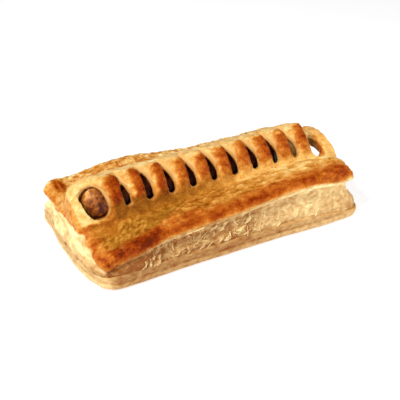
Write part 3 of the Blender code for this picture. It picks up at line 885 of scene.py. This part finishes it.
# %% Tone of the base
bake = 0.34 + 0.12 * rough(p, (8.0, 8.0, 3.0), 43) + 0.2 * ramp(-z, -1.0, 0.0)
tone = (0.19 + 0.21 * ramp(x, -10.0, 60.0) + 0.34 * ramp(-x, 70.0, 76.0)
        + 0.08 * rough(p, (9.0, 9.0, 1.8), 42) - 0.13 * swell(layers_line, LAYER_GAP, 0.7))
base.note("bake", bake)
base.note("side", edge)
base.note("tone", tone + 0.12 * ramp(LAYER_GAP - z, 0.0, 1.0))
for name, value in (("cut", 0.0), ("gold", 0.3), ("deep", 0.0), ("inner", 0.0)):
    base.note(name, np.full(len(p), value))
flat_middle = (np.abs(n[:, 2]) > 0.9) & (np.abs(x) < 74.0) & (np.abs(y) < 38.0)
base.thin_out(flat_middle, share=0.1)
print("base points left:", len(base.piece.data.vertices))

# %% [markdown]
# ## The sausage
# The skin of a cooked sausage is coarse and a little lumpy from the meat
# under it. Its left end lies open in the window and swells up into it. The
# rest shows only as a dark shape in the slits, painted dark as shade, and is
# drawn back a little to clear the tunnel.

# %% The sausage
sausage = Skin("sausage", "sausage_link", voxel=0.55, rounds=10)
p = sausage.points
lumps = 0.3 * hills(p, 5.0, 51) + 0.22 * domes(p, 2.6, 52) + 0.12 * rough(p, 1.6, 53, 2)
open_end = 1 - ramp(p[:, 0], -60.0, -55.0)
sausage.push(lumps - 0.15 - 0.5 * (1 - open_end) + 1.3 * open_end * ramp(p[:, 2], 18.0, 26.0))
# Painted shade: the sausage gets darker away from its lit left tip and its top.
painted_shade_right_and_low = ramp(p[:, 0], -73.0, -61.0) + ramp(-p[:, 2], -35.0, -24.0)
sausage.note("lumps", 1.0 + 1.7 * lumps - 0.8 * painted_shade_right_and_low)
sausage.note("seen", open_end)
print("sausage points:", len(p))


# %% [markdown]
# ## Colours as on a paint chart
# Blender adds up light, so its colours are linear: twice the number is twice
# the light. A paint chart counts from 0 to 255 in even steps to the eye
# instead. Colours are chosen here as on the chart and then changed over.

# %% Colours as on a paint chart
def srgb(red, green, blue):
    """A colour as a paint chart gives it, from 0 to 255, as Blender wants it."""
    values = [v / 255 for v in (red, green, blue)]
    return (*(v / 12.92 if v <= 0.04045 else ((v + 0.055) / 1.055) ** 2.4 for v in values), 1.0)


print("a warm white in Blender's numbers:", [round(v, 2) for v in srgb(252, 238, 184)])


# %% [markdown]
# ## Sums with nodes
# A material is a sum written in nodes. Wiring them by hand in the Shader
# Editor works too, but a long sum is hard to read there. `Wire` wraps one
# node socket so that the sum can be written as a line of Python, and Blender
# still gets nodes.

# %% Sums with nodes
class Wire:
    """One output of a node, that can be used in sums."""

    def __init__(self, tree, socket=None):
        self.tree, self.socket = tree, socket

    def node(self, kind, inputs=None, out=0, stops=(), **settings):
        """Adds a node: its settings and stops first, then its inputs by name or number."""
        made = self.tree.nodes.new("ShaderNode" + kind)
        for name, value in settings.items():
            setattr(made, name, value)
        for number, (place, colour) in enumerate(stops):
            line = made.color_ramp.elements
            stop = line.new(place) if 0 < number < len(stops) - 1 else line[-1 if number else 0]
            stop.position, stop.color = place, srgb(*colour)
        for name, value in (inputs or {}).items():
            if isinstance(value, Wire):
                self.tree.links.new(value.socket, made.inputs[name])
            else:
                made.inputs[name].default_value = value
        return Wire(self.tree, made.outputs[out])

    def math(self, operation, *values):
        return self.node("Math", dict(enumerate(values)), operation=operation)

    def __add__(self, other):
        return self.math("ADD", self, other)

    def __sub__(self, other):
        return self.math("SUBTRACT", self, other)

    def __rsub__(self, other):
        return self.math("SUBTRACT", other, self)

    def __mul__(self, other):
        return self.math("MULTIPLY", self, other)

    __radd__, __rmul__ = __add__, __mul__

    def stretch(self, amounts):
        """A vector with each part multiplied by its own amount."""
        return self.node("VectorMath", {0: self, 1: amounts}, operation="MULTIPLY")

    def mixed(self, a, b):
        """Colour a where this is 0 and colour b where it is 1."""
        return self.node("Mix", {0: self, 6: a, 7: b}, out=2, data_type="RGBA")

    def noise(self, size, detail=3.0, roughness=0.55):
        """Noise with its largest marks about size millimetres long, from a place in millimetres."""
        return self.node("TexNoise", {"Vector": self, "Scale": 1.0 / size, "Detail": detail,
                                      "Roughness": roughness})

    def noted(self, name):
        """The number stored at each point under that name."""
        return self.node("Attribute", out=2, attribute_name=name)

    def place(self):
        """Each point's place in millimetres."""
        return self.node("TexCoord", out=3).stretch((1 / MM,) * 3)

    def bump(self, height, millimetres, strength):
        """A normal tilted by a height, as if the surface went up and down by that much."""
        return self.node("Bump", {"Height": height, "Distance": millimetres * MM,
                                  "Strength": strength})

    def coloured(self, stops):
        """Colours along a line: each stop is a place from 0 to 1 and a colour."""
        return self.node("ValToRGB", {0: self}, stops=stops)


# %% [markdown]
# Every material here is a Principled BSDF. Some of its sockets get one value
# for the whole piece, and others a wire that changes over the surface.

# %% Materials
def new_material(name, **constants):
    """A material, its shader node and an empty Wire to start sums from."""
    material = bpy.data.materials.new(name)
    material.use_nodes = True
    shader = material.node_tree.nodes["Principled BSDF"]
    for socket, value in constants.items():
        shader.inputs[socket.replace("_", " ")].default_value = value
    return material, shader, Wire(material.node_tree)


def feed(shader, **inputs):
    """Links wires to the shader's sockets."""
    for name, wire in inputs.items():
        wire.tree.links.new(wire.socket, shader.inputs[name.replace("_", " ")])


print("materials so far:", len(bpy.data.materials))

# %% [markdown]
# ## Pastry
# One material serves both sheets of pastry. It turns the stored numbers into
# colours: `TOASTED` and `GOLDEN` for the crust as it browns, `RAW` for the
# cut sides, `CRUMB_AND_SHADE` for the walls of the slits, crumb coloured near
# the skin and painted darker deeper down as shade, and `TUNNEL_SHADE` for the
# painted shade inside the tunnel. Noise adds the fine speckle that the mesh
# is too coarse to hold.

# %% Colours of pastry
TOASTED = ((0.0, (248, 224, 160)), (0.15, (236, 192, 122)), (0.30, (226, 164, 86)),
           (0.45, (206, 130, 52)), (0.60, (184, 98, 26)), (0.75, (160, 72, 10)),
           (0.88, (138, 48, 2)), (1.0, (100, 30, 0)))
GOLDEN = ((0.0, (246, 222, 150)), (0.20, (232, 186, 104)), (0.40, (208, 146, 62)),
          (0.60, (176, 114, 34)), (0.80, (144, 86, 16)), (1.0, (110, 60, 6)))
RAW = ((0.0, (148, 86, 38)), (0.30, (190, 144, 88)), (0.60, (224, 186, 128)),
       (0.8, (246, 216, 152)), (1.0, (252, 238, 184)))
CRUMB_AND_SHADE = ((0.0, (52, 18, 4)), (0.25, (120, 66, 20)), (0.5, (184, 128, 64)), (1.0, (222, 176, 108)))
TUNNEL_SHADE = ((0.0, (70, 24, 4)), (1.0, (130, 60, 10)))
print("stops of the toasted colours:", len(TOASTED))


# %% Pastry
def pastry(name, shine):
    """Baked pastry; shine is how much egg wash is on its outside."""
    material, shader, wire = new_material(name, Specular_IOR_Level=0.06)
    place = wire.place()
    bake, gold, side, tone, cut, deep, inner = (
        wire.noted(each) for each in ("bake", "gold", "side", "tone", "cut", "deep", "inner"))
    mottle = place.noise(4.0, detail=4.0) - 0.5
    speckle = place.noise(1.1, roughness=0.6) - 0.5
    level = bake + mottle * 0.6 + speckle * 0.45
    crust = gold.mixed(level.coloured(TOASTED), level.coloured(GOLDEN))
    grain = place.stretch((0.6, 0.6, 1.0)).noise(1.6, detail=4.0) - 0.5
    raw = (tone + grain * 0.7 + mottle * 0.35).coloured(RAW)
    # Painted shade: deeper in a slit the crumb colour turns dark brown.
    crumb_and_shade = (speckle * 0.15 + mottle * 0.2 + 0.95 - deep).coloured(CRUMB_AND_SHADE)
    # Painted shade: the inside of the tunnel is coloured dark brown.
    dark = (mottle * 2.0 + 0.5).coloured(TUNNEL_SHADE)
    colour = inner.mixed(cut.mixed(side.mixed(crust, raw), crumb_and_shade), dark)
    relief = mottle * 0.5 + speckle * 0.25 + grain * side * 0.4
    wash = (1 - side) * (1 - cut) * (1 - inner)
    feed(shader, Base_Color=colour, Roughness=0.66 - wash * (0.2 * shine) + speckle * 0.3,
         Normal=wire.bump(relief, millimetres=1.3, strength=0.9))
    return material


lid.finish(pastry("glazed_pastry", shine=1.0), "pastry_lid", "pastry_lid")
base.finish(pastry("plain_pastry", shine=0.3), "pastry_base", "pastry_base")

# %% [markdown]
# ## Meat
# Reddish brown, paler where the skin stands up, with a wet shine of fat where
# it shows. Inside the roll it is painted dark as shade, and all of it is
# painted darker away from its lit left tip and top. Skin could be given
# subsurface light, but a thin coat is enough at this size and is quicker.

# %% Meat
MEAT = ((0.0, (70, 24, 4)), (0.30, (132, 68, 20)), (0.55, (176, 108, 40)),
        (0.75, (220, 156, 84)), (1.0, (252, 216, 156)))
MEAT_SHADE = ((0.0, (48, 12, 4)), (1.0, (104, 44, 16)))
meat, shader, wire = new_material("cooked_meat", Coat_Roughness=0.25, Specular_IOR_Level=0.15)
lumps, seen = wire.noted("lumps"), wire.noted("seen")
grain = wire.place().noise(2.4, detail=5.0, roughness=0.65) - 0.5
skin_colour = (lumps * 0.8 + grain * 1.5 + 0.06).coloured(MEAT)
# Painted shade: the part under the lid takes these dark colours.
shaded_meat_colour = (lumps + grain).coloured(MEAT_SHADE)
feed(shader, Base_Color=seen.mixed(shaded_meat_colour, skin_colour), Roughness=0.42 - grain * 0.3,
     Normal=wire.bump(grain, millimetres=0.9, strength=0.8), Coat_Weight=seen * 0.08)
sausage.finish(meat, "sausage", "sausage")

# %% [markdown]
# ## Flakes
# The torn side of puff pastry lifts into thin curled flakes. A particle
# system could scatter one flake many times, but every flake is different, so
# each one here is its own small bent sheet with a pointed outline: one long
# side is rooted in the wall, and the other curls away from it.

# %% One flake
FLAKE_ROWS, FLAKE_COLUMNS = 4, 9
FLAKE_THICKNESS = 0.14
grid = np.arange(FLAKE_COLUMNS * FLAKE_ROWS).reshape(FLAKE_COLUMNS, FLAKE_ROWS)
RIM = [*grid[:, 0], *grid[-1, 1:], *grid[-2::-1, -1], *grid[0, -2:0:-1]]
SQUARES = list(zip(grid[:-1, :-1].flat, grid[1:, :-1].flat, grid[1:, 1:].flat, grid[:-1, 1:].flat))


def flake(place, along, across, out, size, dice):
    """Points of a curled sheet as a grid, and how pale each point is."""
    length, width, lift = 4.8 * size * dice.uniform(0.7, 1.5), 2.1 * size, 0.65 * size
    wobble = 1 + 0.25 * np.sin(np.linspace(0, 9, FLAKE_COLUMNS) + dice.uniform(0, 6))
    bend = dice.uniform(-0.5, 0.5) * length
    spots, pale = [], []
    for i in range(FLAKE_COLUMNS):
        share = i / (FLAKE_COLUMNS - 1)
        wide = width * math.sin(math.pi * min(max(share, 0.04), 0.96)) ** 0.6 * wobble[i]
        sweep = bend * (share - 0.5) ** 2
        for j in range(FLAKE_ROWS):
            t = j / (FLAKE_ROWS - 1)
            spots.append(place + along * (share - 0.5) * length
                         + across * (sweep + wide * math.sin(1.7 * t) / 1.3)
                         + out * (lift * (1 - math.cos(1.5 * t)) - 0.25))
            pale.append(0.30 + 0.44 * t + 0.24 * float(ramp(place[0], -50.0, 0.0)))
    return spots, pale


def add_flake(shape, tone, spots, pale, out, dice):
    """Makes the sheet twice, a little apart, and closes the gap along the rim."""
    sheets = []
    for offset in (0.0, FLAKE_THICKNESS):
        sheets.append([shape.verts.new(Vector((spot - out * offset) * MM)) for spot in spots])
        for vertex, value in zip(sheets[-1], pale):
            vertex[tone] = value * dice.uniform(0.85, 1.05)
    upper, lower = sheets
    for square in SQUARES:
        shape.faces.new([upper[k] for k in square])
        shape.faces.new([lower[k] for k in reversed(square)])
    for a, b in zip(RIM, RIM[1:] + RIM[:1]):
        shape.faces.new((upper[b], upper[a], lower[a], lower[b]))


print("faces of a flake:", 2 * len(SQUARES) + len(RIM))

# %% [markdown]
# A flake has to grow out of the finished wall, not out of the solid under it.
# So a ray is shot at the wall from the front, and the flake starts where the
# ray hits. Most flakes lie at the left of the middle, where the wall is torn
# most.

# %% Flakes all over the wall
from mathutils.bvhtree import BVHTree

FLAKE_TRIES, FLAKE_SEED = 230, 61
mesh = lid.piece.data
wall = BVHTree.FromPolygons([v.co[:] for v in mesh.vertices],
                            [f.vertices[:] for f in mesh.polygons])


def wall_spot(dice):
    """A random spot on the torn part of the front wall and its normal, or None."""
    x, z = dice.uniform(-56.0, 50.0), dice.uniform(9.0, 21.0)
    torn = swell(x, -22.0, 34.0) + 0.35
    if dice.uniform() > torn or z > edge_height(x, -HALF_WIDTH) - 1.5:
        return None
    start = (np.array([x, -70.0, z]) + MIDDLE) * MM
    hit, normal, _, _ = wall.ray_cast(Vector(start), Vector((0, 1, 0)))
    return None if hit is None else (np.array(hit) / MM, np.array(normal))


dice = np.random.default_rng(FLAKE_SEED)
shape = bmesh.new()
tone_layer = shape.verts.layers.float.new("tone")
for _ in range(FLAKE_TRIES):
    found = wall_spot(dice)
    if found is None:
        continue
    spot, out = found
    turn = math.radians(dice.normal(45.0, 24.0))
    level = np.cross(out, (0, 0, 1.0))
    level /= np.linalg.norm(level)
    along = -level * math.cos(turn) + np.cross(level, out) * math.sin(turn)
    across = np.cross(out, along) * dice.choice((-1, 1))
    spots, pale = flake(spot, along, across, out, dice.uniform(0.6, 1.2), dice)
    add_flake(shape, tone_layer, spots, pale, out, dice)
bmesh.ops.recalc_face_normals(shape, faces=shape.faces)
print("flake faces:", len(shape.faces))

# %% The flakes' mesh
flake_mesh = bpy.data.meshes.new("pastry_flakes")
shape.to_mesh(flake_mesh)
shape.free()
flake_mesh.shade_smooth()
for name, value in (("side", 1.0), ("bake", 0.2), ("gold", 0.0), ("cut", 0.0), ("deep", 0.0),
                    ("inner", 0.0)):
    note(flake_mesh, name, np.full(len(flake_mesh.vertices), value))
flake_mesh.materials.append(lid.piece.data.materials[0])
flakes = add_object("pastry_flakes", flake_mesh)
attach(flakes, "root")
print("flake triangles:", sum(len(f.vertices) - 2 for f in flake_mesh.polygons))

# %% [markdown]
# ## Floor
# A large pale sheet under the roll, which glows a little so that it stays
# nearly white and still takes a soft shadow. It sits a fifth of a millimetre
# low, so that it doesn't flicker through the base. It belongs to the stage,
# not to the part.

# %% Floor
FLOOR_HALF_SIZE, FLOOR_DROP = 4.0, 0.0002
WHITE, PALE_GREY = (1.0, 1.0, 1.0, 1.0), (0.45, 0.45, 0.45, 1.0)
floor_mesh = bpy.data.meshes.new("floor")
shape = bmesh.new()
bmesh.ops.create_grid(shape, x_segments=1, y_segments=1, size=FLOOR_HALF_SIZE)
shape.to_mesh(floor_mesh)
shape.free()
floor = add_object("floor", floor_mesh)
floor.location.z = -FLOOR_DROP
pale_floor, _, _ = new_material("pale_floor", Base_Color=PALE_GREY, Roughness=0.9,
                                Emission_Color=WHITE, Emission_Strength=0.7,
                                Specular_IOR_Level=0.0)
floor_mesh.materials.append(pale_floor)
floor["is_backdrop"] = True
print("floor size, m:", 2 * FLOOR_HALF_SIZE)

# %% [markdown]
# ## Light
# The room itself is dim. The key is a strong soft lamp high up at the left,
# which lets every blister and pillow cast a small shadow to the right. A weak
# lamp close to the right side opens the dark loop, and a low fill from the
# front keeps the cut side from going black.

# %% Light
room = bpy.data.worlds.new("room")
bpy.context.scene.world = room
room.use_nodes = True
room.node_tree.nodes["Background"].inputs["Color"].default_value = WHITE
room.node_tree.nodes["Background"].inputs["Strength"].default_value = 0.12


def look_at(thing, target):
    """Turns a lamp or a camera towards a target."""
    thing.rotation_euler = (Vector(target) - thing.location).to_track_quat("-Z", "Y").to_euler()


def soft_light(name, spot, target, size, watts):
    """A round lamp, which is itself out of sight; its places are in metres."""
    light = bpy.data.lights.new(name, "AREA")
    light.shape, light.size, light.energy = "DISK", size, watts
    lamp = add_object(name, light)
    lamp.location = spot
    lamp.visible_camera = False
    look_at(lamp, target)
    print(name, "watts:", watts)


soft_light("key", (-0.66, -0.14, 0.82), (0.0, 0.0, 0.02), size=0.35, watts=12.0)
soft_light("side_light", (0.25, -0.16, 0.17), (0.04, -0.03, 0.02), size=0.08, watts=0.35)
soft_light("fill", (-0.05, -0.75, 0.22), (0.0, 0.0, 0.015), size=0.45, watts=1.7)

# %% [markdown]
# ## Camera
# Half a metre away, to the front left and well above, as one looks down at a
# roll on a table. A long lens keeps its far end nearly as large as its near
# end. The plain Standard view shows the colours as they were chosen.

# %% Camera
CAMERA_SPOT, CAMERA_AIM = (-217.11, -379.36, 275.85), (-3.66, -5.91, 15.0)
FOCAL_LENGTH, SENSOR_WIDTH = 82.66, 36.0
lens = bpy.data.cameras.new("camera")
lens.lens, lens.sensor_width = FOCAL_LENGTH, SENSOR_WIDTH
lens.clip_start, lens.clip_end = 0.01, 10.0
camera = add_object("camera", lens)
camera.location = Vector(CAMERA_SPOT) * MM
look_at(camera, Vector(CAMERA_AIM) * MM)
bpy.context.scene.camera = camera
bpy.context.scene.view_settings.view_transform = "Standard"
print("camera distance, mm:", round((Vector(CAMERA_SPOT) - Vector(CAMERA_AIM)).length))

# %% [markdown]
# ## Size
# The skins swell a little past the solids. The last cell prints by how much,
# in millimetres, on each side of the box.

# %% Size
low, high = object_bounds()
grown = [round((a - b) / MM, 1) for a, b in zip((*cad_low, *high), (*low, *cad_high))]
print("grown by, mm:", grown)
